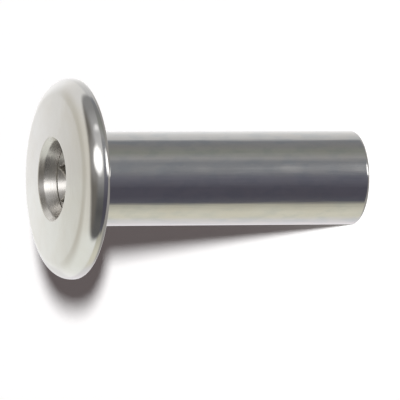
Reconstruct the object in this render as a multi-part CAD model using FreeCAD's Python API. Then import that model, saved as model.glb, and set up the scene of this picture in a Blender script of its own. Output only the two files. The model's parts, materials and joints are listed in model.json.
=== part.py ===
import FreeCAD
import Part
import math
import os

# A binding barrel, turned and formed in one piece: a thin round head with a slightly crowned
# face and a rolled rim, on a plain sleeve that is tapped from its open end. The head's face
# opens in a wide mouth, which narrows in a steep cone to a short straight land. Below the
# land a tapered entry leads into a hexagon socket, whose flats meet the taper in scallops.
#
# The barrel stands on its open end. The origin is the centre of that end's face, +Z runs
# along the axis to the head, and all sizes are millimetres.

# Thread and sleeve
thread_dia = 6.0        # nominal size of the metric thread
thread_pitch = 1.0
sleeve_wall = 1.0       # from the thread's nominal size to the outside
sleeve_length = 25.0    # from the open end to the head's seat
end_round = 0.3         # outer edge of the open end
end_lead = 0.1          # the lead-in's edge stands this far outside the thread
lead_angle = 90.0       # included angle of the lead-in

# Head
head_dia = 17.0
head_thickness = 2.4    # on the axis, from the seat to the top of the crown
face_rise = 0.35        # rise of the crowned face over the head's whole radius
rim_land = 0.15         # straight side between the rim's two roundings
rim_back = 0.5          # rounding of the rim's rear edge
seat_fillet = 0.25      # where the sleeve meets the head

# Hexagon socket, for a key of the thread's tapping size
key_clearance = 0.1     # the flats stand this much further apart than the key's
key_corner = 0.3        # radius between two flats
socket_depth = 4.4      # from the top of the crown to the foot of the socket
foot_angle = 90.0       # included angle of the foot, between the flats and the bore

# Mouth of the socket, from the flats outwards
entry_angle = 46.0      # included angle of the tapered entry
entry_margin = 0.02     # the entry's edge stands this far outside the hexagon's corners
entry_land = 0.1        # straight land between the entry and the steep cone
throat_width = 0.332    # width of the steep cone, seen along the axis
throat_angle = 36.5     # included angle of the steep cone
mouth_width = 0.3       # width of the wide mouth, seen along the axis
mouth_angle = 70.0      # included angle of the wide mouth

# How far a cutter runs past the face that it opens
cutter_overrun = 1.0


def drop(width, angle):
    """How far a cone with this included angle goes down over a distance towards the axis."""
    return width / math.tan(math.radians(angle / 2))


# Radii that follow
bore_radius = (thread_dia - thread_pitch) / 2
lead_radius = thread_dia / 2 + end_lead
sleeve_radius = thread_dia / 2 + sleeve_wall
head_radius = head_dia / 2
flat_radius = bore_radius + key_clearance / 2
corner_reach = (flat_radius - key_corner) / math.cos(math.pi / 6) + key_corner
entry_radius = corner_reach + entry_margin
throat_radius = entry_radius + throat_width
mouth_radius = throat_radius + mouth_width

# The crowned face is a cap of a large sphere, centred far down the axis
seat_height = sleeve_length
crown_height = seat_height + head_thickness
crown_radius = (head_radius ** 2 + face_rise ** 2) / (2 * face_rise)
crown_centre = crown_height - crown_radius

# Heights inside the socket
mouth_height = crown_centre + math.sqrt(crown_radius ** 2 - mouth_radius ** 2)
throat_height = mouth_height - drop(mouth_width, mouth_angle)
land_top = throat_height - drop(throat_width, throat_angle)
entry_height = land_top - entry_land
foot_height = crown_height - socket_depth


def point(radius, height):
    """A point of the outline, in the plane that is turned about the axis."""
    return FreeCAD.Vector(radius, 0, height)


def line(start, end):
    """A straight stretch between two (radius, height) pairs."""
    return Part.LineSegment(point(*start), point(*end)).toShape()


def arc(centre, radius, first, last):
    """A round stretch about centre, from one angle to another, in degrees from outward."""
    through = []
    for angle in (first, (first + last) / 2, last):
        turn = math.radians(angle)
        through.append(point(centre[0] + radius * math.cos(turn), centre[1] + radius * math.sin(turn)))
    return Part.Arc(*through).toShape()


def turned(edges):
    """The closed outline of these edges, turned once about the axis."""
    return Part.Face(Part.Wire(edges)).revolve(point(0, 0), FreeCAD.Vector(0, 0, 1), 360)


def turned_corners(corners):
    """A turned solid with straight sides between (radius, height) pairs."""
    return turned([line(start, end) for start, end in zip(corners, corners[1:] + corners[:1])])


def blank():
    """The barrel before it is opened: sleeve, seat, rolled rim and crowned face."""
    land_start = seat_height + rim_back
    land_end = land_start + rim_land
    # The rolled front edge is tangent to the side at the land's end and to the crowned face
    rise = land_end - crown_centre
    roll = (crown_radius ** 2 - head_radius ** 2 - rise ** 2) / (2 * (crown_radius - head_radius))
    roll_centre = (head_radius - roll, land_end)
    face_angle = math.degrees(math.atan2(rise, head_radius - roll))
    face_edge = crown_radius * math.cos(math.radians(face_angle))
    print("face ends at radius %.3f, front rounding %.3f" % (face_edge, roll))
    return turned([
        line((0, 0), (sleeve_radius - end_round, 0)),
        arc((sleeve_radius - end_round, end_round), end_round, -90, 0),
        line((sleeve_radius, end_round), (sleeve_radius, seat_height - seat_fillet)),
        arc((sleeve_radius + seat_fillet, seat_height - seat_fillet), seat_fillet, 180, 90),
        line((sleeve_radius + seat_fillet, seat_height), (head_radius - rim_back, seat_height)),
        arc((head_radius - rim_back, land_start), rim_back, -90, 0),
        line((head_radius, land_start), (head_radius, land_end)),
        arc(roll_centre, roll, 0, face_angle),
        arc((0, crown_centre), crown_radius, face_angle, 90),
        line((0, crown_height), (0, 0)),
    ])


def bore():
    """The tapping-size hole with its lead-in, from the open end into the foot of the socket."""
    wide = lead_radius + cutter_overrun * math.tan(math.radians(lead_angle / 2))
    top = foot_height + drop(key_clearance / 4, foot_angle)
    return turned_corners([
        (0, -cutter_overrun),
        (wide, -cutter_overrun),
        (bore_radius, drop(lead_radius - bore_radius, lead_angle)),
        (bore_radius, top),
        (0, top),
    ])


def mouth():
    """Everything round in the head: wide mouth, steep cone, land and tapered entry."""
    top = mouth_height + cutter_overrun
    wide = mouth_radius + cutter_overrun * math.tan(math.radians(mouth_angle / 2))
    # The entry runs on past the flats, inside the hexagon, and ends out of sight
    low = entry_height - drop(entry_radius - bore_radius, entry_angle)
    return turned_corners([
        (0, low),
        (bore_radius, low),
        (entry_radius, entry_height),
        (entry_radius, land_top),
        (throat_radius, throat_height),
        (wide, top),
        (0, top),
    ])


def hexagon():
    """The six flats, with two corners on the X axis, down to a foot that is turned like a cone."""
    sharp = flat_radius / math.cos(math.pi / 6)
    corners = []
    for number in range(7):
        turn = number * math.pi / 3
        corners.append(FreeCAD.Vector(sharp * math.cos(turn), sharp * math.sin(turn), foot_height))
    prism = Part.Face(Part.makePolygon(corners)).extrude(FreeCAD.Vector(0, 0, entry_height - foot_height))
    upright = [edge for edge in prism.Edges if edge.BoundBox.ZLength > key_corner]
    prism = prism.makeFillet(key_corner, upright)
    outside = corner_reach + cutter_overrun
    foot = turned_corners([
        (0, foot_height),
        (bore_radius, foot_height),
        (outside, foot_height + drop(outside - bore_radius, foot_angle)),
        (outside, entry_height + cutter_overrun),
        (0, entry_height + cutter_overrun),
    ])
    return prism.common(foot)


def barrel():
    """The finished piece."""
    return blank().cut(bore()).cut(mouth().fuse(hexagon()))


os.makedirs("parts", exist_ok=True)
shape = barrel()
shape.exportStep("parts/barrel.step")
print("solids %d, valid %s, volume %.2f" % (len(shape.Solids), shape.isValid(), shape.Volume))
print("mouth radius %.4f, height %.4f" % (mouth_radius, mouth_height))
print("throat radius %.4f, height %.4f" % (throat_radius, throat_height))
print("entry radius %.4f, height %.4f, land up to %.4f" % (entry_radius, entry_height, land_top))
print("flats %.3f, corners %.4f, foot height %.4f" % (flat_radius, corner_reach, foot_height))
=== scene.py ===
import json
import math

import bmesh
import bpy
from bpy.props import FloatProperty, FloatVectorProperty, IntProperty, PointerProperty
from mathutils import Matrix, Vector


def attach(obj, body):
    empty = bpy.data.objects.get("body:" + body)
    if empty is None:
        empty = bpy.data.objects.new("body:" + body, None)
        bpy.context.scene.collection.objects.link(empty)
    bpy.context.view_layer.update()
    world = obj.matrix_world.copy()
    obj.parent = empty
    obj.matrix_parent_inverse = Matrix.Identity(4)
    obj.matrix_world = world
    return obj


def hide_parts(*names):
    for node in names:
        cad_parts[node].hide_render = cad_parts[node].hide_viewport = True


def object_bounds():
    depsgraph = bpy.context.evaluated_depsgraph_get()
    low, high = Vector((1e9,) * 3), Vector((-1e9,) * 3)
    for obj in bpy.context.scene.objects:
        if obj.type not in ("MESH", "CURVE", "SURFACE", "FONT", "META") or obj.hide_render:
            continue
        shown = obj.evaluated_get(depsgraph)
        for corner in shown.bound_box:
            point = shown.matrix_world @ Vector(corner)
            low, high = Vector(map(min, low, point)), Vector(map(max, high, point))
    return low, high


bl_info = {
    "name": "Binding Barrel",
    "version": (1, 0, 0),
    "blender": (4, 5, 0),
    "location": "3D View > Sidebar > Barrel",
    "description": "A polished steel binding barrel with its key socket and thread, on a pale stage",
    "category": "Object",
}

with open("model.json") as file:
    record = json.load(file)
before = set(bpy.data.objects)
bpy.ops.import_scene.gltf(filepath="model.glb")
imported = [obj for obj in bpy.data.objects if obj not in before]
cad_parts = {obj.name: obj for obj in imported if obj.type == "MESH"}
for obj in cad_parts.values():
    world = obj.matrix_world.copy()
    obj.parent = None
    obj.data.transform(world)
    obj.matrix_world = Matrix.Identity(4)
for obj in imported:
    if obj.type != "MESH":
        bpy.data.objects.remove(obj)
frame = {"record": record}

MM = 0.001
NODE = "barrel"
CAD_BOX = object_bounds()
MOUNTS = {mount["name"]: mount for mount in frame["record"]["mounts"]}

# The mesh: how finely it is stepped, and where its shading breaks
FACE_STEPS = 16
CORNER_STEPS = 6
WALL_STEPS = 8
SLIVER = 0.01 * MM
MERGE_DISTANCE = 1e-8
SHARP_ANGLE = math.radians(35)
THREAD_FADE = 0.5

# Depth of the relief in the finishes
POLISH_RELIEF = 0.03 * MM
CUT_RELIEF = 0.004 * MM

# Outputs of the Light Path and the Texture Coordinate nodes, by number
CAMERA_RAY, GLOSSY_RAY = 0, 3
GENERATED_PLACE, OBJECT_PLACE = 0, 3


# Sizes and colours that a user would change

def length(name, description, millimetres):
    """A length of the barrel, shown in the scene's own unit."""
    return FloatProperty(
        name=name, description=description, default=millimetres * MM, min=0.0, unit="LENGTH", precision=5
    )


def colour(name, description, red, green, blue):
    """A colour, held as plain linear light."""
    return FloatVectorProperty(
        name=name, description=description, subtype="COLOR", size=3, min=0.0, max=4.0, default=(red, green, blue)
    )


def included_angle(name, description, degrees):
    """The whole angle of a cone."""
    return FloatProperty(name=name, description=description, default=math.radians(degrees), subtype="ANGLE")


def share(name, description, default):
    """A number between nothing and one."""
    return FloatProperty(name=name, description=description, default=default, min=0.0, max=1.0)


class BarrelSizes(bpy.types.PropertyGroup):
    """The barrel's own sizes. The main ones come from the frame."""

    sleeve_radius: length("Sleeve Radius", "Outside of the sleeve", MOUNTS["sleeve"]["dims"]["r_mm"])
    bore_radius: length("Bore Radius", "Crest of the internal thread", MOUNTS["thread"]["dims"]["r_mm"])
    seat_height: length("Seat Height", "From the open end to the head", MOUNTS["head_seat"]["pos_m"][2] / MM)
    head_radius: length("Head Radius", "Outside of the head", CAD_BOX[1].x / MM)
    head_thickness: length("Head Thickness", "On the axis, up to the top of the crown", 2.4)
    face_rise: length("Face Rise", "Rise of the crowned face over the head's radius", 0.35)
    rim_land: length("Rim Land", "Straight side between the rim's two roundings", 0.15)
    rim_back: length("Rim Back", "Rounding of the rim's rear edge", 0.5)
    seat_fillet: length("Seat Fillet", "Where the sleeve meets the head", 0.25)
    end_round: length("End Round", "Outer edge of the open end", 0.3)
    lead_radius: length("Lead-in Radius", "Edge of the thread's lead-in at the open end", 3.1)
    thread_radius: length("Thread Radius", "Root of the internal thread", 3.0)
    thread_pitch: length("Thread Pitch", "Rise of the thread in one turn", 1.0)
    thread_clear: length("Thread Clear", "Plain bore between the socket and the first turn", 0.3)
    key_clearance: length("Key Clearance", "The flats stand this much further apart than the key's", 0.1)
    key_corner: length("Key Corner", "Radius between two flats", 0.3)
    socket_depth: length("Socket Depth", "From the top of the crown to the foot of the socket", 4.4)
    entry_margin: length("Entry Margin", "The entry's edge stands this far outside the corners", 0.02)
    entry_land: length("Entry Land", "Straight land between the entry and the steep cone", 0.1)
    throat_width: length("Throat Width", "Width of the steep cone, seen along the axis", 0.332)
    mouth_width: length("Mouth Width", "Width of the wide mouth, seen along the axis", 0.3)
    mouth_round: length("Mouth Round", "Softened edge of the mouth", 0.12)
    edge_break: length("Edge Break", "Softened edges inside the socket", 0.04)
    entry_angle: included_angle("Entry Angle", "Included angle of the tapered entry", 46.0)
    throat_angle: included_angle("Throat Angle", "Included angle of the steep cone", 36.5)
    mouth_angle: included_angle("Mouth Angle", "Included angle of the wide mouth", 70.0)
    columns: IntProperty(
        name="Columns", description="Faces round the barrel, a multiple of twelve", default=192, min=48, max=240
    )


class SteelFinish(bpy.types.PropertyGroup):
    """How the steel is finished."""

    steel: colour("Steel", "Polished stainless steel", 0.80, 0.79, 0.775)
    warm_steel: colour("Warm Steel", "The faint warm cast in patches of the polish", 0.78, 0.755, 0.72)
    clouded_steel: colour("Clouded Steel", "The duller blots of the sleeve's polish", 0.70, 0.715, 0.72)
    bore_steel: colour("Bore Steel", "Cut steel inside the socket and the bore", 0.68, 0.66, 0.635)
    polish: share("Polish", "Roughness of the polished faces", 0.09)
    smudge: share("Smudge", "Extra roughness in the dull patches", 0.10)
    cut: share("Cut", "Roughness of the cut thread and the socket", 0.24)


class StageLook(bpy.types.PropertyGroup):
    """The floor, the light and the view."""

    floor: colour("Floor", "Pale matt floor", 0.92, 0.92, 0.92)
    floor_seen: colour("Floor Seen", "The floor as the camera shows it, where it comes out white", 1.13, 1.13, 1.13)
    shade: colour("Shade", "Stray light that reaches the shadow", 0.078, 0.062, 0.062)
    tent: colour("Tent", "Light walls round the barrel, as the steel shows them", 0.76, 0.755, 0.74)
    opening: colour("Opening", "The dark front of the tent", 0.085, 0.082, 0.105)
    lamp: colour("Lamp", "The lamp beside the opening", 1.9, 1.9, 1.9)
    key: FloatProperty(name="Key Light", description="Strength of the key light", default=7.4, min=0.0)
    tilt: FloatProperty(
        name="View Height", description="How far the view looks down", default=math.radians(20.4), subtype="ANGLE"
    )
    side: FloatProperty(
        name="View Side", description="How far round the barrel the view stands", default=math.radians(10),
        subtype="ANGLE",
    )
    turn: FloatProperty(
        name="View Turn", description="Extra turn of the picture", default=math.radians(0.34), subtype="ANGLE"
    )


# The steel barrel

class Outline:
    """Rings of points round the axis, joined into one skin as they are added."""

    def __init__(self, columns):
        self.mesh = bmesh.new()
        self.columns = columns
        self.angles = [2 * math.pi * number / columns for number in range(columns)]
        self.last = None
        self.finish = 0

    def ring(self, radius, height):
        """New vertices round the axis. Radius and height are numbers, or functions of the angle."""
        made = []
        for angle in self.angles:
            r = radius(angle) if callable(radius) else radius
            z = height(angle) if callable(height) else height
            made.append(self.mesh.verts.new((r * math.cos(angle), r * math.sin(angle), z)))
        return made

    def join(self, ring):
        """Skins the space between the last ring and this one."""
        if self.last is not None:
            for number in range(self.columns):
                after = (number + 1) % self.columns
                corners = [self.last[number], self.last[after], ring[after], ring[number]]
                self.mesh.faces.new(corners).material_index = self.finish
        self.last = ring

    def go(self, radius, height):
        """Adds the next ring of the outline."""
        self.join(self.ring(radius, height))

    def line(self, start, end, steps):
        """A straight stretch, leaving out its start. A narrow face at each end keeps its shading straight."""
        parts = [step / steps for step in range(1, steps + 1)]
        narrow = SLIVER / max(math.dist(start, end), SLIVER)
        if narrow < 0.2 / steps:
            parts = [narrow, *parts[:-1], 1 - narrow, 1.0]
        for part in parts:
            self.go(start[0] + (end[0] - start[0]) * part, start[1] + (end[1] - start[1]) * part)

    def arc(self, centre, radius, first, last, steps):
        """A round stretch between two angles, leaving out its start."""
        for step in range(1, steps + 1):
            turn = first + (last - first) * step / steps
            self.go(centre[0] + radius * math.cos(turn), centre[1] + radius * math.sin(turn))


POLISHED_SLEEVE, POLISHED_HEAD, CUT_STEEL = range(3)


def cone_drop(width, angle):
    """How far a cone with this included angle goes down over a distance towards the axis."""
    return width / math.tan(angle / 2)


class BarrelShape:
    """The radii and heights that follow from the sizes."""

    def __init__(self, sizes):
        self.sizes = sizes
        self.crown_height = sizes.seat_height + sizes.head_thickness
        self.crown_radius = (sizes.head_radius ** 2 + sizes.face_rise ** 2) / (2 * sizes.face_rise)
        self.crown_centre = self.crown_height - self.crown_radius
        self.land_start = sizes.seat_height + sizes.rim_back
        self.land_end = self.land_start + sizes.rim_land
        drop = self.land_end - self.crown_centre
        spare = self.crown_radius ** 2 - sizes.head_radius ** 2 - drop ** 2
        self.roll = spare / (2 * (self.crown_radius - sizes.head_radius))
        self.face_angle = math.atan2(drop, sizes.head_radius - self.roll)
        self.flat_radius = sizes.bore_radius + sizes.key_clearance / 2
        corner_reach = self.flat(0.0)
        self.entry_radius = corner_reach + sizes.entry_margin
        self.throat_radius = self.entry_radius + sizes.throat_width
        self.mouth_radius = self.throat_radius + sizes.mouth_width
        self.mouth_height = self.face_height(self.mouth_radius)
        self.throat_height = self.mouth_height - cone_drop(sizes.mouth_width, sizes.mouth_angle)
        self.land_top = self.throat_height - cone_drop(sizes.throat_width, sizes.throat_angle)
        self.entry_top = self.land_top - sizes.entry_land
        self.foot_height = self.crown_height - sizes.socket_depth

    def face_height(self, radius):
        """Height of the crowned face at a distance from the axis."""
        return self.crown_centre + math.sqrt(self.crown_radius ** 2 - radius ** 2)

    def entry_height(self, radius):
        """Height of the tapered entry at a distance from the axis."""
        return self.entry_top - cone_drop(self.entry_radius - radius, self.sizes.entry_angle)

    def flat(self, angle):
        """Distance from the axis to the socket's wall, with its rounded corners on the X axis."""
        corner = self.sizes.key_corner
        from_corner = (angle + math.pi / 6) % (math.pi / 3) - math.pi / 6
        centre = (self.flat_radius - corner) / math.cos(math.pi / 6)
        across = corner ** 2 - (centre * math.sin(from_corner)) ** 2
        straight = self.flat_radius / math.cos(math.pi / 6 - abs(from_corner))
        if across <= 0:
            return straight
        return min(straight, centre * math.cos(from_corner) + math.sqrt(across))


def sleeve_and_head(outline, shape):
    """The outside, from the lead-in's edge at the open end up to the mouth of the socket."""
    sizes = shape.sizes
    quarter = math.pi / 2
    outline.finish = POLISHED_SLEEVE
    end = sizes.sleeve_radius - sizes.end_round
    outline.line((sizes.lead_radius, 0.0), (end, 0.0), 3)
    outline.arc((end, sizes.end_round), sizes.end_round, -quarter, 0.0, 8)
    fillet_height = sizes.seat_height - sizes.seat_fillet
    outline.line((sizes.sleeve_radius, sizes.end_round), (sizes.sleeve_radius, fillet_height), 24)
    fillet_radius = sizes.sleeve_radius + sizes.seat_fillet
    outline.arc((fillet_radius, fillet_height), sizes.seat_fillet, 2 * quarter, quarter, 8)
    outline.finish = POLISHED_HEAD
    seat_edge = sizes.head_radius - sizes.rim_back
    outline.line((fillet_radius, sizes.seat_height), (seat_edge, sizes.seat_height), 6)
    outline.arc((seat_edge, shape.land_start), sizes.rim_back, -quarter, 0.0, 12)
    outline.line((sizes.head_radius, shape.land_start), (sizes.head_radius, shape.land_end), 2)
    roll_centre = (sizes.head_radius - shape.roll, shape.land_end)
    outline.arc(roll_centre, shape.roll, 0.0, shape.face_angle, 36)
    face_edge = shape.crown_radius * math.cos(shape.face_angle)
    inner = shape.mouth_radius + sizes.mouth_round / 2
    for step in range(1, FACE_STEPS + 1):
        radius = face_edge + (inner - face_edge) * step / FACE_STEPS
        outline.go(radius, shape.face_height(radius))


def towards(start, end, reach):
    """The point at a distance from start on the way to end."""
    part = reach / math.dist(start, end)
    return (start[0] + (end[0] - start[0]) * part, start[1] + (end[1] - start[1]) * part)


def softened(outline, corners, reaches, steps):
    """Straight stretches that meet in softened corners. Gives the point where the last corner ends."""
    end = corners[0]
    for before, corner, after, reach, count in zip(corners, corners[1:], corners[2:], reaches, steps):
        start = towards(corner, before, reach)
        outline.line(end, start, count)
        end = towards(corner, after, reach)
        for step in range(1, CORNER_STEPS + 1):
            part = step / CORNER_STEPS
            weights = ((1 - part) ** 2, 2 * part * (1 - part), part ** 2)
            outline.go(*(sum(w * spot[axis] for w, spot in zip(weights, (start, corner, end))) for axis in (0, 1)))
    return end


def key_socket(outline, shape):
    """The wide mouth, the steep cone, the land and entry, the six flats and the foot."""
    sizes = shape.sizes
    soft = sizes.edge_break
    outline.finish = CUT_STEEL
    face = shape.mouth_radius + sizes.mouth_round / 2
    corners = [
        (face, shape.face_height(face)),
        (shape.mouth_radius, shape.mouth_height),
        (shape.throat_radius, shape.throat_height),
        (shape.entry_radius, shape.land_top),
        (shape.entry_radius, shape.entry_top),
        (shape.flat_radius, shape.entry_height(shape.flat_radius)),
    ]
    reaches = (sizes.mouth_round / 2, 2 * soft, 0.5 * soft, 0.5 * soft)
    start = softened(outline, corners, reaches, (1, 4, 6, 1))

    # The entry runs down to the lip of the six flats: low in their middles and high in the corners
    def lip(angle):
        return min(shape.flat(angle) + soft, start[0] - SLIVER)

    for step in range(1, WALL_STEPS + 1):
        part = step / WALL_STEPS
        outline.go(
            lambda angle, part=part: start[0] + (lip(angle) - start[0]) * part,
            lambda angle, part=part: shape.entry_height(start[0] + (lip(angle) - start[0]) * part),
        )

    def wall_top(angle):
        return shape.entry_height(shape.flat(angle)) - soft

    def wall_foot(angle):
        return shape.foot_height + shape.flat(angle) - sizes.bore_radius

    outline.go(
        lambda angle: shape.flat(angle) + 0.25 * (lip(angle) - shape.flat(angle)),
        lambda angle: shape.entry_height(shape.flat(angle)) - 0.3 * soft,
    )
    for step in range(WALL_STEPS + 1):
        part = step / WALL_STEPS
        outline.go(shape.flat, lambda angle, part=part: wall_top(angle) * (1 - part) + wall_foot(angle) * part)
    outline.go(sizes.bore_radius, shape.foot_height)


def thread_profile(sizes):
    """One turn's section as (share of the pitch, radius): crest flat, flank, rounded root, flank."""
    depth = sizes.thread_radius - sizes.bore_radius
    flank = depth * math.tan(math.pi / 6) / sizes.thread_pitch
    root = 1 / 8
    crest = 1 - 2 * flank - root
    rounding = 0.9
    near = sizes.bore_radius + rounding * depth
    return [
        (0.0, sizes.bore_radius),
        (crest / 2, sizes.bore_radius),
        (crest, sizes.bore_radius),
        (crest + flank / 2, sizes.bore_radius + depth / 2),
        (crest + rounding * flank, near),
        (crest + flank + root / 2, sizes.thread_radius),
        (1 - rounding * flank, near),
        (1 - flank / 2, sizes.bore_radius + depth / 2),
    ]


def tapped_bore(outline, shape, first_ring):
    """A right-hand thread, its rows climbing with the helix, from the plain bore to the open end."""
    sizes = shape.sizes
    profile = thread_profile(sizes)
    low, high = 0.0, shape.foot_height
    top_ring = outline.last
    turns = math.ceil((high - low) / sizes.thread_pitch) + 1
    rows = []
    for turn in range(turns + 1):
        for part, radius in profile:
            rows.append((turn + part - 1, radius))
    grid = []
    for climb, radius in rows:
        row = []
        for number in range(outline.columns + 1):
            angle = 2 * math.pi * number / outline.columns
            height = low + sizes.thread_pitch * (climb + number / outline.columns)
            column = number % outline.columns
            if height <= low:
                row.append(first_ring[column])
            elif height >= high:
                row.append(top_ring[column])
            else:
                fade = (high - sizes.thread_clear - height) / (THREAD_FADE * sizes.thread_pitch)
                cut = sizes.bore_radius + (radius - sizes.bore_radius) * min(max(fade, 0.0), 1.0)
                wall = max(cut, sizes.lead_radius - height)
                row.append(outline.mesh.verts.new((wall * math.cos(angle), wall * math.sin(angle), height)))
        grid.append(row)
    # The helix comes round one turn higher, so the seam takes over the first column's own points
    per_turn = len(profile)
    for index, row in enumerate(grid):
        above = index + per_turn
        if above < len(grid):
            spare = row[-1]
            row[-1] = grid[above][0]
            if spare is not row[-1] and spare not in first_ring and spare not in top_ring:
                outline.mesh.verts.remove(spare)
        elif row[-1] not in top_ring:
            outline.mesh.verts.remove(row[-1])
            row[-1] = top_ring[0]
    for lower, upper in zip(grid, grid[1:]):
        for number in range(outline.columns):
            corners = [lower[number], upper[number], upper[number + 1], lower[number + 1]]
            single = [corner for place, corner in enumerate(corners) if corner not in corners[:place]]
            if len(single) >= 3:
                outline.mesh.faces.new(single).material_index = CUT_STEEL


def build_barrel(sizes, finish):
    """The whole barrel as one closed skin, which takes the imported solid's place."""
    shape = BarrelShape(sizes)
    outline = Outline(sizes.columns)
    first_ring = outline.ring(sizes.lead_radius, 0.0)
    outline.join(first_ring)
    sleeve_and_head(outline, shape)
    key_socket(outline, shape)
    tapped_bore(outline, shape, first_ring)
    skin = outline.mesh
    bmesh.ops.remove_doubles(skin, verts=skin.verts, dist=MERGE_DISTANCE)
    bmesh.ops.recalc_face_normals(skin, faces=skin.faces)
    data = bpy.data.meshes.new("binding_barrel")
    skin.to_mesh(data)
    skin.free()
    for material in (polished_sleeve(finish), polished_head(finish), cut_steel(finish)):
        data.materials.append(material)
    data.shade_smooth()
    data.set_sharp_from_angle(angle=SHARP_ANGLE)
    piece = bpy.data.objects.new("binding_barrel", data)
    bpy.context.scene.collection.objects.link(piece)
    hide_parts(NODE)
    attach(piece, "root")
    return piece


# Writing shaders as arithmetic

class Value:
    """A number in a node tree. Arithmetic on it adds Math nodes."""

    def __init__(self, shader, socket):
        self.shader = shader
        self.socket = socket

    def math(self, operation, *others):
        return self.shader.add("ShaderNodeMath", {"operation": operation}, [self, *others])

    def __add__(self, other):
        return self.math("ADD", other)

    __radd__ = __add__

    def __mul__(self, other):
        return self.math("MULTIPLY", other)

    __rmul__ = __mul__

    def __sub__(self, other):
        return self.math("SUBTRACT", other)

    def __rsub__(self, other):
        return self.shader.add("ShaderNodeMath", {"operation": "SUBTRACT"}, [other, self])

    def __truediv__(self, other):
        return self.math("DIVIDE", other)

    def __pow__(self, other):
        return self.math("POWER", other)

    def rise(self, low, high):
        """0 below low and 1 above high, smooth between them. With low above high it falls."""
        settings = {"interpolation_type": "SMOOTHSTEP"}
        sockets = {"Value": self, "From Min": low, "From Max": high}
        return self.shader.add("ShaderNodeMapRange", settings, sockets)


class Shader:
    """A node tree that is being written."""

    def __init__(self, owner):
        owner.use_nodes = True
        self.tree = owner.node_tree
        self.tree.nodes.clear()

    def add(self, kind, settings=None, sockets=None, output=0):
        """A node of any type: its settings, then the values or links of its sockets."""
        node = self.tree.nodes.new(kind)
        for name, value in (settings or {}).items():
            if name == "stops":
                self.set_stops(node.color_ramp, value)
            else:
                setattr(node, name, value)
        pairs = sockets.items() if isinstance(sockets, dict) else enumerate(sockets or [])
        for name, value in pairs:
            if isinstance(value, Value):
                self.tree.links.new(value.socket, node.inputs[name])
            else:
                node.inputs[name].default_value = value
        return Value(self, node.outputs[output]) if node.outputs else None

    @staticmethod
    def set_stops(ramp, stops):
        while len(ramp.elements) < len(stops):
            ramp.elements.new(1.0)
        for element, (place, tint) in zip(ramp.elements, stops):
            element.position = place
            element.color = (*tint, 1.0)

    def mix(self, factor, first, second):
        """A colour between two colours. The sockets are numbered because four share each name."""
        settings = {"data_type": "RGBA", "clamp_result": False}
        return self.add("ShaderNodeMix", settings, {0: factor, 6: opaque(first), 7: opaque(second)}, output=2)

    def split(self, vector):
        """The three parts of a vector."""
        parts = []
        for axis in range(3):
            parts.append(self.add("ShaderNodeSeparateXYZ", None, [vector], output=axis))
        return parts

    def place(self):
        """Where a point is on the barrel, in millimetres."""
        spot = self.add("ShaderNodeTexCoord", None, None, output=OBJECT_PLACE)
        return self.add("ShaderNodeVectorMath", {"operation": "SCALE"}, {0: spot, "Scale": 1 / MM})

    def stretched(self, vector, x, y, z):
        """The same place with each direction scaled."""
        return self.add("ShaderNodeVectorMath", {"operation": "MULTIPLY"}, {0: vector, 1: (x, y, z)})

    def noise(self, vector, scale, detail=2.0, roughness=0.5):
        """Soft random variation, about 0.5 on average."""
        sockets = {"Vector": vector, "Scale": scale, "Detail": detail, "Roughness": roughness}
        return self.add("ShaderNodeTexNoise", None, sockets)

    def bump(self, height, depth):
        """A relief of the given depth."""
        return self.add("ShaderNodeBump", None, {"Height": height, "Strength": 1.0, "Distance": depth})

    def finish(self, kind, surface):
        """Links a shader to the tree's output."""
        self.add(kind, None, {"Surface": surface})


def opaque(tint):
    """A colour with its fourth part, where it isn't a link."""
    return tint if isinstance(tint, Value) else (*tint, 1.0)


# Finishes of the steel

def polished_sleeve(finish):
    """Polished lengthwise: fine drawn lines and soft dull patches."""
    material = bpy.data.materials.new("polished sleeve")
    shader = Shader(material)
    place = shader.place()
    patches = shader.noise(shader.stretched(place, 0.5, 0.5, 0.22), 1.0, 3.0)
    lines = shader.noise(shader.stretched(place, 3.0, 3.0, 0.12), 1.0, 3.0, 0.6)
    waves = shader.noise(shader.stretched(place, 0.35, 0.35, 0.18), 1.0, 1.0)
    blots = shader.noise(shader.stretched(place, 1.1, 1.1, 0.6), 1.0, 2.0)
    dull = patches.rise(0.45, 0.75)
    tint = shader.mix(patches.rise(0.35, 0.7) * 0.6, finish.steel, finish.warm_steel)
    tint = shader.mix(blots.rise(0.42, 0.7) * 0.7, tint, finish.clouded_steel)
    relief = lines * 0.25 + waves * 0.6
    surface = shader.add("ShaderNodeBsdfPrincipled", None, {
        "Base Color": tint,
        "Metallic": 1.0,
        "Roughness": finish.polish + dull * finish.smudge * 0.3 + lines.rise(0.5, 0.9) * 0.05,
        "Normal": shader.bump(relief, POLISH_RELIEF),
    })
    shader.finish("ShaderNodeOutputMaterial", surface)
    return material


def polished_head(finish):
    """Buffed after turning: faint rings about the axis under a soft, slightly cloudy polish."""
    material = bpy.data.materials.new("polished head")
    shader = Shader(material)
    place = shader.place()
    x, y, z = shader.split(place)
    radius = (x * x + y * y).math("SQRT")
    rings = shader.noise(shader.add("ShaderNodeCombineXYZ", None, [radius * 5.0, z * 5.0, 0.0]), 1.0, 2.0)
    clouds = shader.noise(shader.stretched(place, 0.3, 0.3, 0.3), 1.0, 3.0)
    tint = shader.mix(clouds.rise(0.35, 0.7) * 0.7, finish.steel, finish.warm_steel)
    surface = shader.add("ShaderNodeBsdfPrincipled", None, {
        "Base Color": tint,
        "Metallic": 1.0,
        "Roughness": finish.polish + clouds.rise(0.4, 0.75) * finish.smudge,
        "Normal": shader.bump(rings * 0.1 + clouds * 0.8, POLISH_RELIEF),
    })
    shader.finish("ShaderNodeOutputMaterial", surface)
    return material


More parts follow.
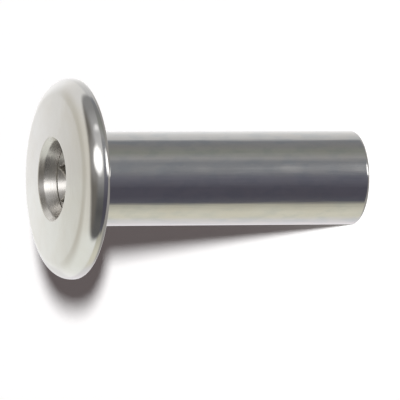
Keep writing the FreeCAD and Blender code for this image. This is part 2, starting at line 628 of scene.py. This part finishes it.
def cut_steel(finish):
    """The formed socket and the cut thread: darker, with fine tool marks round the axis."""
    material = bpy.data.materials.new("cut steel")
    shader = Shader(material)
    place = shader.place()
    marks = shader.noise(shader.stretched(place, 0.8, 0.8, 9.0), 1.0, 2.0)
    stain = shader.noise(place, 0.9, 3.0)
    tint = shader.mix(stain.rise(0.3, 0.7), finish.bore_steel, finish.warm_steel)
    surface = shader.add("ShaderNodeBsdfPrincipled", None, {
        "Base Color": tint,
        "Metallic": 1.0,
        "Roughness": finish.cut + marks * 0.08,
        "Normal": shader.bump(marks, CUT_RELIEF),
    })
    shader.finish("ShaderNodeOutputMaterial", surface)
    return material


# The stage: floor, light and view

FLOOR_RADIUS = 3.0
FLOOR_SIDES = 64
FLOOR_GLOW = 0.03
LENS = 800.0
SENSOR = 36.0
PICTURE = 400
PIXELS_PER_MM = 11.69
PIXEL = MM / PIXELS_PER_MM
END_IN_PICTURE = (353.3, 177.5)
KEY_TURN = math.radians(2.85)
KEY_HEIGHT = math.radians(19.9)
KEY_WIDTH = math.radians(2.1)
KEY_DEPTH = math.radians(0.9)
KEY_AWAY = 80.0


def build_floor(look):
    """A wide round floor, level with the open end. The steel shows the studio instead of it."""
    data = bpy.data.meshes.new("floor")
    skin = bmesh.new()
    bmesh.ops.create_circle(skin, cap_ends=True, segments=FLOOR_SIDES, radius=FLOOR_RADIUS)
    skin.to_mesh(data)
    skin.free()
    material = bpy.data.materials.new("pale floor")
    shader = Shader(material)
    camera = shader.add("ShaderNodeLightPath", None, None, output=CAMERA_RAY)
    tint = shader.mix(camera, look.floor, look.floor_seen)
    matt = shader.add("ShaderNodeBsdfDiffuse", None, {"Color": tint})
    glow = shader.add("ShaderNodeEmission", None, {"Color": (1.0, 1.0, 1.0, 1.0), "Strength": camera * FLOOR_GLOW})
    surface = shader.add("ShaderNodeAddShader", None, [matt, glow])
    shader.finish("ShaderNodeOutputMaterial", surface)
    data.materials.append(material)
    floor = bpy.data.objects.new("floor", data)
    floor.visible_glossy = False
    bpy.context.scene.collection.objects.link(floor)


def round_the_barrel(look, direction):
    """A direction that is given as seen from the front, turned to where the view stands."""
    return Matrix.Rotation(-look.side, 3, "Z") @ Vector(direction)


def level(amount, tint=(1.0, 1.0, 1.0)):
    """A tint at a plain level of light."""
    return tuple(amount * part for part in tint)


class Studio:
    """The light round the barrel, by compass and height: 0 degrees is the open front of the tent."""

    def __init__(self, shader, look):
        self.shader = shader
        direction = shader.add("ShaderNodeTexCoord", None, None, output=GENERATED_PLACE)
        turned = {"Vector": direction, "Angle": look.side}
        direction = shader.add("ShaderNodeVectorRotate", {"rotation_type": "Z_AXIS"}, turned)
        x, y, z = shader.split(direction)
        self.compass = x.math("ARCTAN2", y * -1.0) * (180 / math.pi)
        self.height = z.math("ARCSINE") * (180 / math.pi)
        self.aside = self.compass.math("ABSOLUTE")

    def sweep(self, stops):
        """Colours that follow each other round the barrel."""
        start, end = stops[0][0], stops[-1][0]
        places = [((degrees - start) / (end - start), tint) for degrees, tint in stops]
        across = (self.compass - start) / (end - start)
        return self.shader.add("ShaderNodeValToRGB", {"stops": places}, [across])

    def within(self, compass, centre, size, soft):
        """1 inside an oval patch, fading over its edge to 0 outside."""
        side = (compass - centre[0]) / size[0]
        rise = (self.height - centre[1]) / size[1]
        return (side * side + rise * rise).math("SQRT").rise(1 + soft, 1 - soft)

    def patch(self, light, centre, size, soft, tint, amount=1.0):
        """The same light with a patch of another laid over it."""
        return self.shader.mix(self.within(self.compass, centre, size, soft) * amount, light, tint)

    def tent(self, look):
        """Pale walls: brightest low down behind, greyer high up behind."""
        shader = self.shader
        light = shader.mix(self.height.rise(20, 65), look.tent, (0.70, 0.68, 0.62))
        light = self.patch(light, (-135, 22), (85, 42), 0.6, (0.86, 0.88, 0.83))
        behind = self.within(self.aside, (184, 49), (46, 25), 0.6)
        light = shader.mix(behind * 0.9, light, (0.57, 0.55, 0.49))
        low = self.height.rise(28, 2) * self.aside.rise(115, 172)
        light = shader.mix(low, light, (1.05, 1.05, 1.05))
        light = self.patch(light, (-163, 0), (12, 14), 0.4, (0.84, 0.84, 0.84))
        straw, lilac = (1.02, 1.0, 0.85), (1.01, 0.98, 1.01)
        table = self.sweep([
            (-180, level(0.96)), (-165, level(0.86, lilac)), (-147, level(0.8, lilac)), (-127, level(0.72)),
            (-110, level(0.69, straw)), (-97, level(0.685, straw)), (-88, level(0.63, straw)),
            (-78, level(0.54, straw)), (-68, level(0.42, straw)), (105, level(0.5)), (117, level(0.585)),
            (133, level(0.695)), (147, level(0.83)), (165, level(1.0)), (180, level(1.0)),
        ])
        light = shader.mix(self.height.rise(-4, -14), light, table)
        return shader.mix(self.height.rise(-24, -50), light, (0.34, 0.33, 0.32))

    def front(self, look):
        """Inside the opening: dark, with the lamp's haze on one side and a grey flank."""
        shader = self.shader
        dark, cool, blue, green = look.opening, (0.95, 0.95, 1.15), (0.96, 1.0, 1.08), (0.98, 1.02, 0.92)
        low = self.sweep([
            (-70, level(0.16)), (-60, level(0.115, cool)), (-45, dark), (-25, dark), (0, level(0.155, cool)),
            (20, level(0.215, blue)), (38, level(0.225, blue)), (50, level(0.325)), (66, level(0.25, green)),
            (84, level(0.222)), (104, level(0.232, blue)),
        ])
        middle = self.sweep([
            (-80, level(0.24)), (-66, level(0.115)), (-52, level(0.125)), (-38, level(0.095)), (-22, level(0.13)),
            (-8, level(0.24)), (6, level(0.46)), (26, level(0.7)), (48, level(0.54)), (70, level(0.38)),
            (86, level(0.275)), (108, level(0.27)),
        ])
        light = shader.mix(self.height.rise(-19.6, -13), low, middle)
        light = shader.mix(self.height.rise(14, 42), light, (0.165, 0.155, 0.14))
        return self.patch(light, (28, 45), (26, 22), 0.7, level(0.4), 0.7)

    def opening(self):
        """Where the front of the tent is open: wide at the foot and rounded at the top."""
        side = (self.compass + self.height * 0.12 - 18) / 91
        rise = (self.height - 5) / 69
        far = side.math("ABSOLUTE") ** 2.2 + rise.math("ABSOLUTE") ** 2.2
        soft = self.height.rise(15, 60) * 0.28 + 0.12
        return far.rise(1 + soft, 1 - soft)

    def lamps(self, light, look):
        """The lamp in the opening, a slim one beside it, and the lamp's glare on the table."""
        above = self.height.rise(-17, -8)
        core = self.within(self.compass - self.height * 0.12, (20, 18), (15, 25), 0.4)
        light = self.shader.mix(core * above, light, look.lamp)
        slim = self.within(self.compass, (59, 0), (4, 12), 0.8)
        light = self.shader.mix(slim * above, light, level(0.95))
        glare = self.within(self.compass, (22, -50), (14, 32), 0.5) * self.height.rise(-21, -27)
        return self.shader.mix(glare, light, look.lamp)


def studio(shader, look):
    """What the steel shows."""
    made = Studio(shader, look)
    light = shader.mix(made.opening(), made.tent(look), made.front(look))
    return made.lamps(light, look)


def build_world(look):
    """White to the camera, the studio to the steel, and only stray light on the floor."""
    world = bpy.data.worlds.new("studio")
    bpy.context.scene.world = world
    shader = Shader(world)
    path = "ShaderNodeLightPath"
    camera = shader.add(path, None, None, output=CAMERA_RAY)
    glossy = shader.add(path, None, None, output=GLOSSY_RAY)
    tint = shader.mix(glossy, look.shade, studio(shader, look))
    tint = shader.mix(camera, tint, (1.0, 1.0, 1.0))
    shader.finish("ShaderNodeOutputWorld", shader.add("ShaderNodeBackground", None, {"Color": tint}))


def build_key(look):
    """A far oval key beside the camera. It throws the shadow, and the steel doesn't show it."""
    data = bpy.data.lights.new("key", "AREA")
    data.shape = "ELLIPSE"
    data.size = KEY_AWAY * math.tan(KEY_WIDTH)
    data.size_y = KEY_AWAY * math.tan(KEY_DEPTH)
    data.energy = look.key * math.pi * KEY_AWAY ** 2
    lamp = bpy.data.objects.new("key", data)
    direction = round_the_barrel(look, (
        math.cos(KEY_HEIGHT) * math.sin(KEY_TURN),
        -math.cos(KEY_HEIGHT) * math.cos(KEY_TURN),
        math.sin(KEY_HEIGHT),
    ))
    lamp.rotation_mode = "QUATERNION"
    lamp.rotation_quaternion = direction.to_track_quat("Z", "Y")
    lamp.location = direction * KEY_AWAY
    lamp.visible_glossy = False
    bpy.context.scene.collection.objects.link(lamp)


def build_camera(look):
    """A long lens that looks down on the barrel, turned so that the head is at the left."""
    data = bpy.data.cameras.new("camera")
    data.sensor_width = SENSOR
    data.lens = LENS
    distance = PICTURE * PIXEL * LENS / SENSOR
    data.clip_start = distance * 0.1
    data.clip_end = distance * 10
    back = round_the_barrel(look, (0.0, -math.cos(look.tilt), math.sin(look.tilt)))
    up = round_the_barrel(look, (1.0, 0.0, 0.0))
    right = up.cross(back)
    turn = Matrix.Rotation(-look.turn, 3, back)
    up, right = turn @ up, turn @ right
    aside = (END_IN_PICTURE[0] - PICTURE / 2) * PIXEL
    above = (PICTURE / 2 - END_IN_PICTURE[1]) * PIXEL
    aim = -aside * right - above * up
    camera = bpy.data.objects.new("camera", data)
    camera.matrix_world = Matrix.Translation(aim + back * distance) @ Matrix((right, up, back)).transposed().to_4x4()
    bpy.context.scene.collection.objects.link(camera)
    bpy.context.scene.camera = camera
    bpy.context.scene.view_settings.view_transform = "Standard"


# Operators, panel and registration

class BARREL_OT_barrel(bpy.types.Operator):
    """Builds the steel barrel: sleeve, head, key socket and thread"""

    bl_idname = "barrel.build_barrel"
    bl_label = "Build Barrel"

    def execute(self, context):
        build_barrel(context.scene.barrel_sizes, context.scene.steel_finish)
        return {"FINISHED"}


class BARREL_OT_stage(bpy.types.Operator):
    """Builds the floor, the light and the camera"""

    bl_idname = "barrel.build_stage"
    bl_label = "Build Stage"

    def execute(self, context):
        look = context.scene.stage_look
        build_floor(look)
        build_world(look)
        build_key(look)
        build_camera(look)
        return {"FINISHED"}


class BARREL_PT_panel(bpy.types.Panel):
    """Lists what can be built, with its sizes and colours"""

    bl_label = "Binding Barrel"
    bl_idname = "BARREL_PT_panel"
    bl_space_type = "VIEW_3D"
    bl_region_type = "UI"
    bl_category = "Barrel"

    def draw(self, context):
        scene = context.scene
        for group in (scene.barrel_sizes, scene.steel_finish, scene.stage_look):
            box = self.layout.box()
            for name in group.__annotations__:
                box.prop(group, name)
        self.layout.operator(BARREL_OT_barrel.bl_idname)
        self.layout.operator(BARREL_OT_stage.bl_idname)


CLASSES = (BarrelSizes, SteelFinish, StageLook, BARREL_OT_barrel, BARREL_OT_stage, BARREL_PT_panel)


def register():
    for made in CLASSES:
        bpy.utils.register_class(made)
    bpy.types.Scene.barrel_sizes = PointerProperty(type=BarrelSizes)
    bpy.types.Scene.steel_finish = PointerProperty(type=SteelFinish)
    bpy.types.Scene.stage_look = PointerProperty(type=StageLook)


def unregister():
    del bpy.types.Scene.stage_look
    del bpy.types.Scene.steel_finish
    del bpy.types.Scene.barrel_sizes
    for made in reversed(CLASSES):
        bpy.utils.unregister_class(made)


def main():
    register()
    bpy.ops.barrel.build_barrel()
    bpy.ops.barrel.build_stage()


if __name__ == "__main__":
    main()
